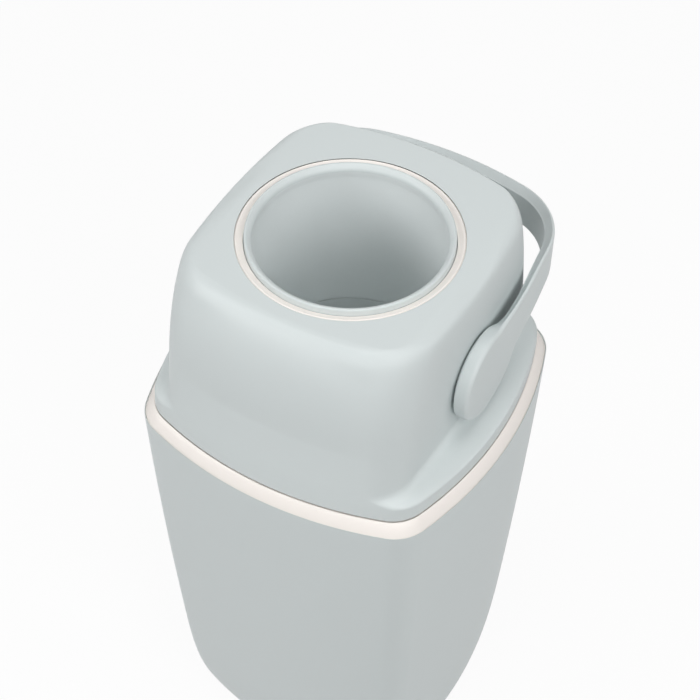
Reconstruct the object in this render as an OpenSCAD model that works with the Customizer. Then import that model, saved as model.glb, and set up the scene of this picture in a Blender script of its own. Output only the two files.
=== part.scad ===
// Nappy bin with a flip-over drum: a tapering rounded-square bin, a cream collar,
// a hinged lid and a drum that the handle turns half a turn about X.
// Origin at the middle of the base, +Z up, the front towards -Y.

/* [Bin] */
// Height of the bin up to the collar
body_h = 403.9; // [300:0.1:520]
// Wall of the bin
body_wall = 3; // [2:0.1:5]
// Floor of the bin
floor_t = 5; // [4:0.1:9]
// Radius of a foot pad
pad_r = 12; // [6:0.5:18]
// Thickness of a foot pad
pad_t = 2.5; // [1.5:0.1:3]

/* [Collar] */
// Height of the cream collar's bevel
collar_h = 11.7; // [6:0.1:16]
// How far the collar's foot stands out past its top
collar_out = 8.2; // [5:0.1:14]
// Wall of the collar
collar_wall = 2.6; // [2:0.1:4]
// Depth of the skirt that plugs into the bin
skirt_h = 18; // [10:0.5:30]
// Width of the flat top of the collar
collar_land = 15.6; // [12:0.1:18]

/* [Lid] */
// Width of the drum's face between its chute and the edge of the lid's hole
face_land = 12; // [8:0.1:20]
// Height of the hole's plane over the drum's axis
mouth_up = 87; // [80:0.5:95]
// Height of the drum's axis over the lid's lower edge
axis_up = 60; // [56:0.5:70]
// Wall of the lid
lid_wall = 2.4; // [2:0.1:3]
// Flat top between the hole and the lid's shoulder at the sides
top_land = 6; // [5:0.1:10]
// The same in front
front_land = 10; // [6:0.1:16]
// The same at the back
back_land = 27.7; // [15:0.1:30]
// How far the front bulges past what the drum needs
belly_spare = 1.9; // [1:0.1:5]
// How far the lid flares from the axis down to its lower edge
lid_flare = 9.2; // [5:0.1:14]
// Gap between lid and collar
lid_gap = 0.6; // [0.3:0.1:1.2]

/* [Drum] */
// Gap between drum and lid all round
drum_gap = 0.56; // [0.3:0.02:1]
// Wall of the drum
drum_wall = 2.5; // [2:0.1:3]
// Bore of the chute tube
tube_r = 74; // [60:0.5:75]
// Wall of the chute tube
tube_wall = 2.5; // [2:0.1:3]
// How far the rolled lip stands out of the drum
lip_up = 3.8; // [2:0.1:5]
// How far the lip reaches in over the tube's bore
lip_in = 1.4; // [0.8:0.1:2]
// Height of the piston
piston_h = 22; // [18:0.5:30]
// Gap between piston and tube
piston_gap = 0.3; // [0.3:0.05:0.5]

/* [Handle] */
// Radius of the handle's discs
disc_r = 39.2; // [30:0.5:40]
// Thickness of a disc
disc_t = 13.3; // [10:0.1:16]
// Gap between disc and lid
disc_gap = 0.6; // [0.3:0.1:1]
// How far the handle's bar reaches out behind the lid
handle_spare = 46.2; // [34:0.1:60]
// Thickness of the strap
strap_t = 8; // [6:0.1:10]
// Lower edge of the strap over the axis
strap_low = 5; // [2:0.5:12]
// Radius of the handle's corners
handle_corner_r = 62.5; // [40:0.5:70]

/* [Bearings and hinge] */
// Radius of a stub shaft
shaft_r = 12; // [8:0.5:14]
// Running gap of shafts and pin in their bores
run_gap = 0.05; // [0.02:0.01:0.1]
// Wall of a bearing bush
bush_wall = 4; // [3:0.1:5]
// Thickness of a bush's flange
bush_flange_t = 3.2; // [2:0.1:3.4]
// Radius of the hinge pin
pin_r = 2.5; // [1.5:0.1:3]
// Radius of the hinge knuckles
knuckle_r = 5; // [4:0.1:6]
// Length of the lid's knuckle
lid_knuckle_w = 74; // [40:1:90]
// Length of each of the collar's knuckles
collar_knuckle_w = 22; // [12:1:30]

/* [Hidden] */
$fn = 96;
overrun = 1;

// Facets round the seals, the lips, and small rounded edges
seal_fn = 360;
lip_fn = 128;
edge_fn = 48;

// Colours of the mouldings
grey_plastic = [0.84, 0.87, 0.87];
cream_plastic = [0.97, 0.94, 0.90];
dark_rubber = [0.25, 0.26, 0.27];
seal_rubber = [0.55, 0.57, 0.58];
bearing_plastic = [0.93, 0.93, 0.91];
steel = [0.62, 0.63, 0.65];

// The drum turns inside a ball that the edge of the lid's hole lies on
hole_r = tube_r + face_land;
cavity_r = sqrt(hole_r * hole_r + mouth_up * mouth_up);
drum_r = cavity_r - drum_gap;

// Outside of a bearing wall, as a share of the ball's radius
side_share = 0.8877;
side_half = side_share * cavity_r;
belly_half = cavity_r + lid_wall + belly_spare;
lid_half = belly_half + lid_flare;
body_half = lid_half + collar_out;
handle_reach = belly_half + handle_spare;

// Half width of the lid's flat top, and its reach to the front and to the back
top_half = hole_r + top_land;
top_front = hole_r + front_land;
top_back = hole_r + back_land;

// Heights above the floor
collar_top_z = body_h + collar_h;
lid_low_z = collar_top_z + lid_gap;
axis_z = lid_low_z + axis_up;
mouth_z = axis_z + mouth_up;

// Shape of the outlines: bulge of a side and radius of a corner, as shares of the half width
bulge_share = 0.11;
corner_share = 0.235;

// Steps of an outline along half a side and round a corner
side_steps = 4;
corner_steps = 6;

// Radius of the arc that bulges by sag over a chord
function arc_r(half_chord, sag) = (half_chord * half_chord + sag * sag) / (2 * sag);

// A quarter of an outline with bulging sides, from the +X axis to just before the +Y axis
function quarter(hx, hy, sx, sy, rc) =
    let (ax = hx - sx - rc, ay = hy - sy - rc)
    let (rx = arc_r(ay, sx), ry = arc_r(ax, sy))
    let (fx = asin(ay / rx), fy = asin(ax / ry))
    concat(
        [for (i = [0:side_steps - 1]) let (t = fx * i / side_steps)
            [hx - rc - rx + (rx + rc) * cos(t), (rx + rc) * sin(t), t]],
        [for (i = [0:corner_steps - 1]) let (t = fx + (90 - fy - fx) * i / corner_steps)
            [ax + rc * cos(t), ay + rc * sin(t), t]],
        [for (i = [0:side_steps - 1]) let (t = 90 - fy + fy * i / side_steps)
            [(ry + rc) * cos(t), hy - rc - ry + (ry + rc) * sin(t), t]]);

// A whole outline: half width, reach to the front and to the back, and as shares of its half widths
// the corner's radius and the bulge of the sides and of the front and back
function outline(hx, front, back, corner = corner_share, side_bulge = bulge_share, face_bulge = bulge_share) =
    let (hy = (front + back) / 2, shift = (back - front) / 2, rc = corner * min(hx, hy))
    let (sx = side_bulge * hx, sy = face_bulge * hy)
    let (a = quarter(hx, hy, sx, sy, rc), b = quarter(hy, hx, sy, sx, rc))
    concat([for (p = a) [p[0], shift + p[1]]], [for (p = b) [-p[1], shift + p[0]]],
        [for (p = a) [-p[0], shift - p[1]]], [for (p = b) [p[1], shift - p[0]]]);

// A row of a loft that is as deep as it is wide
function even_row(z, half) = [z, half, half, half, corner_share, bulge_share, bulge_share];

// A solid through rows of the form [height, then what outline takes], lowest first
module loft(rows) {
    n = 4 * (2 * side_steps + corner_steps);
    last = len(rows) - 1;
    points = [for (r = rows) for (p = outline(r[1], r[2], r[3], r[4], r[5], r[6])) [p[0], p[1], r[0]]];
    low_cap = [[for (i = [0:n - 1]) i]];
    high_cap = [[for (i = [n - 1:-1:0]) last * n + i]];
    sides = [for (k = [0:last - 1]) for (i = [0:n - 1]) let (j = (i + 1) % n)
        each [[k * n + i, (k + 1) * n + i, (k + 1) * n + j], [k * n + i, (k + 1) * n + j, k * n + j]]];
    polyhedron(points, concat(low_cap, sides, high_cap), convexity = 6);
}

// A straight-walled plate of the same outline
module plate(half, low, high) {
    translate([0, 0, low]) linear_extrude(high - low) polygon(outline(half, half, half));
}

// A cylinder along X from x0 to x1 at the height of the drum's axis
module along_x(r, x0, x1) {
    translate([x0, 0, axis_z]) rotate([0, 90, 0]) cylinder(r = r, h = x1 - x0);
}

// A slab across the drum's axis, as wide as the drum between two flat sides
module slab(half_x, low, high) {
    reach = cavity_r + overrun;
    translate([-half_x, -reach, axis_z + low]) cube([2 * half_x, 2 * reach, high - low]);
}

// Bin: the taper falls away faster towards the floor. Shares of its height and of its half width.
neck_share = 0.9985;
rim_share = 0.994;
hollow_floor_share = 0.775;
body_shares = [[0, 0.735], [0.012, 0.768], [0.05, 0.812], [0.1, 0.85], [0.16, 0.878], [0.23, 0.897],
    [0.34, 0.917], [0.55, 0.95], [0.78, 0.979], [0.985, neck_share], [1, rim_share]];
hollow_shares = [for (s = body_shares) if (s[0] > 0.04 && s[0] < 1) s];
body_rows = [for (s = body_shares) even_row(s[0] * body_h, s[1] * body_half)];
hollow_rows = concat(
    [even_row(floor_t, hollow_floor_share * body_half - body_wall)],
    [for (s = hollow_shares) even_row(s[0] * body_h, s[1] * body_half - body_wall)],
    [even_row(body_h + overrun, neck_share * body_half - body_wall)]);
pad_place_share = 0.43;
pad_at = pad_place_share * body_half;

module pad_places() {
    for (x = [-1, 1]) for (y = [-1, 1]) translate([x * pad_at, y * pad_at, 0]) children();
}

module bin_body() {
    color(grey_plastic) difference() {
        loft(body_rows);
        loft(hollow_rows);
        pad_places() translate([0, 0, -overrun]) cylinder(r = pad_r, h = pad_t + overrun);
    }
}

module foot_pads() {
    color(dark_rubber) pad_places() cylinder(r = pad_r, h = pad_t);
}

// Collar: bevel outside, skirt inside the bin, flat top with a round-cornered opening
plug_gap = 0.3;
collar_bevel_shares = [[0, 0], [0.3, 0.2], [0.65, 0.52], [0.88, 0.82], [1, 1]];
plug_half = rim_share * body_half - body_wall - plug_gap;
collar_open_half = lid_half - collar_land;
rim_drop = 14;
knuckle_stand = 1.7;
knuckle_sink = 1.2;
hinge_y = lid_half + knuckle_r + knuckle_stand;
hinge_z = lid_low_z + knuckle_r - knuckle_sink;
half_lid_knuckle = lid_knuckle_w / 2;
knuckle_gap = 0.5;

module collar_band() {
    color(cream_plastic) difference() {
        union() {
            loft([for (s = collar_bevel_shares)
                even_row(body_h + s[0] * collar_h, rim_share * body_half - s[1] * (collar_out - lid_gap))]);
            plate(plug_half, body_h - skirt_h, body_h);
            for (side = [-1, 1]) collar_knuckle(side);
        }
        difference() {
            plate(plug_half - collar_wall, body_h - skirt_h - overrun, collar_top_z - collar_wall);
            plate(collar_open_half + collar_wall, collar_top_z - rim_drop, collar_top_z);
        }
        plate(collar_open_half, body_h - skirt_h - overrun, collar_top_z + overrun);
        translate([-body_half, hinge_y, hinge_z]) rotate([0, 90, 0])
            cylinder(r = pin_r + run_gap / 2, h = 2 * body_half);
    }
}

// One hinge knuckle on its pedestal, outside the lid's knuckle
module collar_knuckle(side) {
    middle = side * (half_lid_knuckle + knuckle_gap + collar_knuckle_w / 2);
    translate([middle - collar_knuckle_w / 2, hinge_y, hinge_z]) {
        rotate([0, 90, 0]) cylinder(r = knuckle_r, h = collar_knuckle_w);
        translate([0, -knuckle_r, body_h - hinge_z])
            cube([collar_knuckle_w, 2 * knuckle_r, hinge_z - body_h]);
    }
}

// Bag ring: a flat flange on the collar and a skirt that the bag is drawn over
ring_t = 2.5;
ring_flange = 6;
ring_skirt_h = 20;
ring_gap = 0.4;
ring_skirt_half = collar_open_half - ring_gap;

module bag_ring() {
    color(grey_plastic) difference() {
        union() {
            plate(collar_open_half + ring_flange, collar_top_z, collar_top_z + ring_t);
            plate(ring_skirt_half, collar_top_z - ring_skirt_h, collar_top_z + ring_t);
        }
        plate(ring_skirt_half - ring_t, collar_top_z - ring_skirt_h - overrun, collar_top_z + ring_t + overrun);
    }
}

module hinge_pin() {
    reach = half_lid_knuckle + knuckle_gap + collar_knuckle_w;
    color(steel) translate([-reach, hinge_y, hinge_z]) rotate([0, 90, 0]) cylinder(r = pin_r, h = 2 * reach);
}

// Lid, from its lower edge up over the shelf to the drum's axis: height and reach as shares
axis_corner_share = 0.25;
wall_bulge_share = 0.028;
function shelf_row(up, out, flare) =
    let (y = belly_half + flare * lid_flare)
    [lid_low_z + up * axis_up, side_half + out * (lid_half - side_half), y, y,
        axis_corner_share + out * (corner_share - axis_corner_share),
        wall_bulge_share + out * (bulge_share - wall_bulge_share), bulge_share];
shelf_shares = [[0, 1, 1], [0.133, 1, 0.88], [0.158, 0.975, 0.86], [0.172, 0.925, 0.85], [0.192, 0.75, 0.83],
    [0.213, 0.53, 0.81], [0.235, 0.31, 0.79], [0.265, 0.13, 0.76], [0.3, 0.035, 0.73], [0.34, 0, 0.69]];

// Lid, from the axis up over the rounded shoulder to the flat top. A higher share rounds it tighter.
side_round_share = 27.7;
front_round_share = 2.17;
back_round_share = 2.56;
wall_corner_share = 0.417;
top_corner_share = 0.204;
top_bulge_share = 0.05;
face_bulge_share = 0.079;
function way_out(down, round_share) = sqrt(1 - pow(1 - down, round_share));
function top_row(down) =
    let (out = way_out(down, side_round_share))
    [mouth_z - down * mouth_up, top_half + out * (side_half - top_half),
        top_front + way_out(down, front_round_share) * (belly_half - top_front),
        top_back + way_out(down, back_round_share) * (belly_half - top_back),
        top_corner_share + out * (wall_corner_share - top_corner_share)
            - down * out * (wall_corner_share - axis_corner_share),
        top_bulge_share + out * (wall_bulge_share - top_bulge_share),
        face_bulge_share + out * (bulge_share - face_bulge_share)];
depth_shares = [1, 0.82, 0.64, 0.48, 0.34, 0.23, 0.15, 0.095, 0.06, 0.036, 0.02, 0.01, 0.004, 0];
lid_rows = concat([for (s = shelf_shares) shelf_row(s[0], s[1], s[2])], [for (d = depth_shares) top_row(d)]);

// The same rows moved in by the wall
function inner_row(r, drop) = [r[0] - drop, r[1] - lid_wall, r[2] - lid_wall, r[3] - lid_wall, r[4], r[5], r[6]];
inner_rows = [for (i = [0:len(lid_rows) - 1]) inner_row(lid_rows[i], lid_wall + (i == 0 ? overrun : 0))];
boss_t = 2.3;
boss_rim = 8;
boss_r = shaft_r + bush_wall + boss_rim;
arm_sink = 2.2;

module lid_shell() {
    color(grey_plastic) difference() {
        union() {
            loft(lid_rows);
            lid_knuckle();
        }
        difference() {
            loft(inner_rows);
            for (side = [-1, 1]) lid_boss(side);
            screw_places() translate([0, 0, liner_top_z]) cylinder(r = pillar_r, h = pillar_h);
        }
        intersection() {
            translate([0, 0, axis_z]) sphere(r = cavity_r);
            slab(drum_side + side_gap, -cavity_r, cavity_r);
        }
        along_x(shaft_r + bush_wall, -body_half, body_half);
        translate([-half_lid_knuckle - overrun, hinge_y, hinge_z]) rotate([0, 90, 0])
            cylinder(r = pin_r + run_gap, h = lid_knuckle_w + 2 * overrun);
        screw_places() translate([0, 0, liner_top_z - overrun]) cylinder(r = screw_r, h = screw_len + overrun);
    }
}

// Knuckle and arm at the back of the lid
module lid_knuckle() {
    arm = hinge_y - lid_half + arm_sink;
    translate([-half_lid_knuckle, hinge_y, hinge_z]) {
        rotate([0, 90, 0]) cylinder(r = knuckle_r, h = lid_knuckle_w);
        translate([0, -arm, lid_low_z + lid_gap - hinge_z])
            cube([lid_knuckle_w, arm, hinge_z + knuckle_r - lid_low_z - lid_gap]);
    }
}

// Round pad inside a bearing wall
module lid_boss(side) {
    inside = side_half - lid_wall - boss_t;
    outside = side_half - lid_wall / 2;
    along_x(boss_r, side > 0 ? inside : -outside, side > 0 ? outside : -inside);
}

// Liner: a flat floor inside the lid, with a cradle round the lower half of the drum
liner_t = 2.5;
liner_clear = 0.9;
liner_low_z = collar_top_z + ring_t + liner_clear;
liner_top_z = liner_low_z + liner_t;
liner_gap = 1.45;
liner_half = lid_half - lid_wall - liner_gap;
cradle_gap = 1.5;
cradle_r = cavity_r + cradle_gap;
outlet_rise = 3;
outlet_up = mouth_up - outlet_rise;
screw_r = 1.8;
screw_head_r = 3.6;
screw_head_t = 2.4;
screw_len = 8;
pillar_r = 5;
pillar_h = 14;
screw_place_shares = [0.44, 0.885];

module screw_places() {
    for (x = [-1, 1]) for (y = [-1, 1])
        translate([x * screw_place_shares[0] * lid_half, y * screw_place_shares[1] * lid_half, 0]) children();
}

module lid_liner() {
    color(grey_plastic) difference() {
        union() {
            plate(liner_half, liner_low_z, liner_top_z);
            translate([0, 0, axis_z]) rotate_extrude() intersection() {
                circle(r = cradle_r + liner_t);
                translate([0, -outlet_up]) square([cradle_r * 2, outlet_up - axis_z + liner_top_z]);
            }
        }
        translate([0, 0, axis_z]) sphere(r = cradle_r);
        translate([0, 0, axis_z - cradle_r]) cylinder(r = seal_in_r, h = cradle_r);
        screw_places() translate([0, 0, liner_low_z - overrun])
            cylinder(r = screw_r + run_gap, h = liner_t + 2 * overrun);
    }
}

module liner_screws() {
    color(steel) screw_places() translate([0, 0, liner_low_z]) {
        translate([0, 0, -screw_head_t / 4]) cylinder(r = screw_head_r, h = screw_head_t / 4);
        cylinder(r = screw_r, h = liner_t + screw_len - overrun);
    }
}

// Soft rings that wipe the drum at the mouth and at the outlet
seal_gap = 0.3;
seal_r = drum_r + seal_gap;
seal_t = 3;
seal_w = 0.8;
seal_top_r = top_half - lid_wall - seal_gap;
seal_low_up = mouth_up - lid_wall - seal_t;
seal_low_r = sqrt(seal_r * seal_r - seal_low_up * seal_low_up) + seal_w;
seal_in_r = sqrt(cradle_r * cradle_r - outlet_up * outlet_up);

module mouth_seal() {
    color(seal_rubber) difference() {
        translate([0, 0, axis_z + seal_low_up]) cylinder(r1 = seal_low_r, r2 = seal_top_r, h = seal_t, $fn = seal_fn);
        translate([0, 0, axis_z]) sphere(r = seal_r, $fn = seal_fn);
    }
}

module outlet_seal() {
    outer = seal_in_r + liner_t;
    color(seal_rubber) difference() {
        translate([0, 0, axis_z - outlet_up - seal_t]) cylinder(r = outer, h = seal_t, $fn = seal_fn);
        translate([0, 0, axis_z]) sphere(r = seal_r, $fn = seal_fn);
        translate([0, 0, axis_z - cradle_r]) cylinder(r = hole_r - drum_gap, h = cradle_r, $fn = seal_fn);
    }
}

// Bearing bushes: a sleeve through the wall and a flange against the pad inside it
side_gap = 0.6;
bush_in = side_half - lid_wall - boss_t;
drum_side = bush_in - bush_flange_t - side_gap;

module bush(side) {
    inside = bush_in - bush_flange_t;
    color(bearing_plastic) mirror([side > 0 ? 0 : 1, 0, 0]) difference() {
        union() {
            along_x(shaft_r + bush_wall, inside, side_half);
            along_x(boss_r, inside, bush_in);
        }
        along_x(shaft_r + run_gap, inside - overrun, side_half + overrun);
    }
}

module bush_left() bush(-1);
module bush_right() bush(1);

// Drum: a ball cut flat at both mouths and at both sides, in two halves that meet at the axis
drum_hole_gap = 0.6;
lip_out = 2.8;
lip_r = tube_r + tube_wall + lip_out;
drum_hole_r = lip_r + drum_hole_gap;
flange_in = drum_side - drum_wall;
join_flange = 6;
join_t = 3;
join_screw_share = 0.965;
join_tilt = 48;

module drum_half() {
    difference() {
        intersection() {
            translate([0, 0, axis_z]) sphere(r = drum_r);
            slab(drum_side, 0, mouth_up);
        }
        difference() {
            intersection() {
                translate([0, 0, axis_z]) sphere(r = drum_r - drum_wall);
                slab(flange_in, -overrun, mouth_up - drum_wall);
            }
            drum_join_places() cylinder(r = join_flange, h = join_t * 3);
            for (side = [-1, 1]) hub_housing(side);
        }
        translate([0, 0, axis_z]) cylinder(r = drum_hole_r, h = mouth_up + overrun);
        along_x(shaft_r + run_gap, -body_half, body_half);
        drum_join_places() translate([0, 0, -overrun]) cylinder(r = screw_r, h = join_t * 2 + overrun);
    }
}

// Round wall that holds a stub shaft's flange
module hub_housing(side) {
    inside = flange_in - hub_flange_t;
    difference() {
        along_x(hub_r + drum_wall, side > 0 ? inside : -flange_in, side > 0 ? flange_in : -inside);
        along_x(hub_r, -body_half, body_half);
    }
}

// The four places where the halves are screwed together
module drum_join_places() {
    at = join_screw_share * (drum_r - drum_wall);
    for (x = [-1, 1]) for (y = [-1, 1])
        translate([x * at * cos(join_tilt), y * at * sin(join_tilt), axis_z]) children();
}

module drum_upper() {
    color(cream_plastic) drum_half();
}

module drum_lower() {
    color(cream_plastic) translate([0, 0, 2 * axis_z]) rotate([180, 0, 0]) drum_half();
}

module drum_screws() {
    color(steel) drum_join_places() translate([0, 0, -join_t * 2]) cylinder(r = screw_r, h = join_t * 4);
}

// Chute tube and the two rolled lips that close over its ends
lip_depth = 9;
lip_low = mouth_up - lip_depth;
lip_top = mouth_up + lip_up;
lip_bore_r = tube_r - lip_in;
lip_w = lip_r - lip_bore_r;
seat_w = 3.2;
seat_r = lip_r + seat_w;

module chute_tube() {
    color(grey_plastic) translate([0, 0, axis_z]) difference() {
        cylinder(r = tube_r + tube_wall, h = 2 * lip_low, center = true);
        cylinder(r = tube_r, h = 2 * (lip_low + overrun), center = true);
    }
}

// Section of the lip: socket for the tube, seat under the drum's face, rounded top
module lip_section() {
    roll = lip_w / 2;
    union() {
        translate([lip_bore_r, mouth_up - drum_wall]) square([lip_w, lip_top - roll - mouth_up + drum_wall]);
        translate([lip_bore_r + roll, lip_top - roll]) circle(r = roll, $fn = edge_fn);
        polygon([[lip_bore_r, lip_low + lip_in], [tube_r, lip_low], [lip_r, lip_low],
            [lip_r, mouth_up - drum_wall], [lip_bore_r, mouth_up - drum_wall]]);
        translate([tube_r + tube_wall, lip_low - lip_w]) square([lip_r - tube_r - tube_wall, lip_w]);
        translate([lip_r, mouth_up - drum_wall - seal_t]) square([seat_r - lip_r, seal_t]);
    }
}

module mouth_ring_upper() {
    color(grey_plastic) translate([0, 0, axis_z]) rotate_extrude($fn = lip_fn) lip_section();
}

module mouth_ring_lower() {
    color(grey_plastic) translate([0, 0, axis_z]) rotate([180, 0, 0]) rotate_extrude($fn = lip_fn) lip_section();
}

// Piston: a dished cup with a steel weight under it, resting on the lower lip
piston_r = tube_r - piston_gap;
piston_low_z = axis_z - lip_low + piston_gap;
piston_t = 3;
dish_depth = 7;
cover_t = 2.5;
weight_r_share = 0.72;
weight_t = 6;
wiper_t = 2.4;
wiper_deep = 2;
dish_r = arc_r(piston_r - piston_t, dish_depth);

module piston_cup() {
    top = piston_low_z + piston_h;
    weight_top = piston_low_z + cover_t + weight_t;
    color(grey_plastic) difference() {
        translate([0, 0, piston_low_z + cover_t]) cylinder(r = piston_r, h = piston_h - cover_t);
        translate([0, 0, top - dish_depth + dish_r]) sphere(r = dish_r, $fn = lip_fn);
        translate([0, 0, piston_low_z]) cylinder(r = weight_r_share * piston_r, h = weight_top - piston_low_z);
        translate([0, 0, top - 3 * wiper_t]) difference() {
            cylinder(r = piston_r + overrun, h = wiper_t);
            translate([0, 0, -overrun]) cylinder(r = piston_r - wiper_deep, h = wiper_t + 2 * overrun);
        }
    }
}

module piston_weight() {
    color(steel) translate([0, 0, piston_low_z + cover_t])
        cylinder(r = weight_r_share * piston_r - run_gap, h = weight_t);
}

module piston_cover() {
    color(grey_plastic) translate([0, 0, piston_low_z]) cylinder(r = piston_r - piston_t, h = cover_t);
}

module piston_wiper() {
    color(seal_rubber) translate([0, 0, piston_low_z + piston_h - 3 * wiper_t]) difference() {
        cylinder(r = tube_r - run_gap, h = wiper_t);
        translate([0, 0, -overrun]) cylinder(r = piston_r - wiper_deep, h = wiper_t + 2 * overrun);
    }
}

// Stub shafts: a flange held between the drum's halves, and a shaft through the bush into the disc
hub_r = 30;
hub_flange_t = 4;
disc_foot = side_half + disc_gap;
disc_face = disc_foot + disc_t;
disc_skin = 4;
screw_skin = 2;
socket_end = disc_face - disc_skin;

module trunnion(side) {
    color(bearing_plastic) mirror([side > 0 ? 0 : 1, 0, 0]) difference() {
        union() {
            along_x(hub_r, flange_in - hub_flange_t, flange_in);
            along_x(shaft_r, flange_in, socket_end);
        }
        along_x(screw_r, flange_in - hub_flange_t - overrun, socket_end + overrun);
    }
}

module trunnion_left() trunnion(-1);
module trunnion_right() trunnion(1);

module trunnion_screws() {
    color(steel) for (side = [0, 1]) mirror([side, 0, 0]) {
        along_x(screw_r, flange_in - hub_flange_t, disc_face - screw_skin);
        along_x(screw_head_r, flange_in - hub_flange_t - screw_head_t, flange_in - hub_flange_t);
    }
}

// Handle: a flat strap on two discs, as one moulding
strap_corner = 3;
arm_bulge = 6;
bar_bulge = 6.05;
flare_share = 1.6;
flare_reach = flare_share * disc_r;
flare_drop = 36;
arm_inset = 0.2;
arm_face = disc_face - arm_inset;
disc_edge_r = 4;
section_steps = 3;

// Stations along the strap's middle line: place, and the way it faces
strap_mid = quarter(arm_face - strap_t / 2, handle_reach - strap_t / 2, arm_bulge, bar_bulge,
    handle_corner_r - strap_t / 2);
stations = concat(strap_mid, [[0, handle_reach - strap_t / 2, 90]],
    [for (i = [len(strap_mid) - 1:-1:0]) [-strap_mid[i][0], strap_mid[i][1], 180 - strap_mid[i][2]]]);

// Lower edge of the strap, flaring into the disc near the axis
function strap_foot(y) = strap_low - flare_drop * pow(max(0, 1 - y / flare_reach), 2);

// Rounded-rectangle section across the strap at a station
function strap_section(y) =
    let (lo = strap_foot(y), hi = disc_r - arm_inset, r = strap_corner, u = strap_t / 2)
    [for (c = [[1, 1, 0], [-1, 1, 90], [-1, -1, 180], [1, -1, 270]]) for (k = [0:section_steps - 1])
        let (t = c[2] + 90 * k / (section_steps - 1))
        [c[0] * (u - r) + r * cos(t), (c[1] > 0 ? hi - r : lo + r) + r * sin(t)]];

module strap() {
    n = 4 * section_steps;
    last = len(stations) - 1;
    points = [for (s = stations) for (q = strap_section(s[1]))
        [s[0] + q[0] * cos(s[2]), s[1] + q[0] * sin(s[2]), axis_z + q[1]]];
    start_cap = [[for (i = [n - 1:-1:0]) i]];
    end_cap = [[for (i = [0:n - 1]) last * n + i]];
    sides = [for (k = [0:last - 1]) for (i = [0:n - 1]) let (j = (i + 1) % n)
        each [[k * n + i, (k + 1) * n + j, (k + 1) * n + i], [k * n + i, k * n + j, (k + 1) * n + j]]];
    polyhedron(points, concat(start_cap, sides, end_cap), convexity = 6);
}

module handle_disc() {
    translate([0, 0, axis_z]) rotate([0, 90, 0]) rotate_extrude() difference() {
        union() {
            translate([0, disc_foot]) square([disc_r, disc_t - disc_edge_r]);
            translate([0, disc_foot]) square([disc_r - disc_edge_r, disc_t]);
            translate([disc_r - disc_edge_r, disc_face - disc_edge_r]) circle(r = disc_edge_r, $fn = edge_fn);
        }
        square([shaft_r + run_gap, socket_end]);
        square([screw_r, disc_face - screw_skin]);
    }
}

module handle_bail() {
    color(grey_plastic) union() {
        difference() {
            strap();
            along_x(disc_r / 2, -body_half, body_half);
        }
        for (side = [0, 1]) mirror([side, 0, 0]) handle_disc();
    }
}

bin_body();
foot_pads();
collar_band();
bag_ring();
hinge_pin();
lid_shell();
mouth_seal();
lid_liner();
outlet_seal();
liner_screws();
bush_left();
bush_right();
drum_upper();
drum_lower();
drum_screws();
chute_tube();
mouth_ring_upper();
mouth_ring_lower();
piston_cup();
piston_weight();
piston_cover();
piston_wiper();
trunnion_left();
trunnion_right();
trunnion_screws();
handle_bail();
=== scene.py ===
import math

import bmesh
import bpy
from mathutils import Matrix, Vector


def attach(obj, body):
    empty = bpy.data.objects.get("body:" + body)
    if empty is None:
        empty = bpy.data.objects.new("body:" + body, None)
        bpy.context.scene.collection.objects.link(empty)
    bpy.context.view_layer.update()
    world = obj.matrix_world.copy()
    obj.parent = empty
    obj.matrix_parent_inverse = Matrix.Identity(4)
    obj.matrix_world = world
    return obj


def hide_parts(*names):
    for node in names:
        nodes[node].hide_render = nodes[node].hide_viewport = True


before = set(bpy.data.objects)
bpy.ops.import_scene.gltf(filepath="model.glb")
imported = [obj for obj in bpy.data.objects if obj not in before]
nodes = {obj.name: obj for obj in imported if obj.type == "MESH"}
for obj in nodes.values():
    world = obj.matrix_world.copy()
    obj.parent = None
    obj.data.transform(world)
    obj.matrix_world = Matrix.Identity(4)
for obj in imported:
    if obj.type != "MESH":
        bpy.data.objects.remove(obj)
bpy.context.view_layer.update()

MM = 0.001

# Floor and background: a plain white floor. The camera and mirror-like reflections see most of it
# at full white, and the rest of it still takes the bin's soft shadow.
FLOOR_HALF = 6.0
FLOOR_CELLS = 8
FLOOR_ROUGHNESS = 0.9
FLOOR_WHITE = 0.93
FLOOR_BOUNCE = 0.55
FLOOR_CLEAR = 0.93

floor_mesh = bpy.data.meshes.new("floor")
floor_shape = bmesh.new()
bmesh.ops.create_grid(floor_shape, x_segments=FLOOR_CELLS, y_segments=FLOOR_CELLS, size=FLOOR_HALF)
floor_shape.to_mesh(floor_mesh)
floor_shape.free()
floor = bpy.data.objects.new("floor", floor_mesh)
bpy.context.scene.collection.objects.link(floor)


class Wire:
    """A node's output. Sums and products of wires add Math nodes."""

    def __init__(self, tree, socket=None):
        self.tree = tree
        self.socket = socket

    def node(self, kind, settings, inputs, output=0):
        """A new node: its settings first, then its sockets by name or number."""
        made = self.tree.nodes.new("ShaderNode" + kind)
        for name, value in settings.items():
            setattr(made, name, value)
        for name, value in inputs.items():
            if isinstance(value, Wire):
                self.tree.links.new(value.socket, made.inputs[name])
            else:
                made.inputs[name].default_value = value
        return Wire(self.tree, made.outputs[output])

    def math(self, operation, other):
        """The sum or product with another wire or a number."""
        return self.node("Math", {"operation": operation}, {0: self, 1: other})

    def __add__(self, other):
        return self.math("ADD", other)

    def __mul__(self, other):
        return self.math("MULTIPLY", other)

    def into(self, node, name):
        """Links the wire to a node's socket."""
        self.tree.links.new(self.socket, node.inputs[name])


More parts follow.
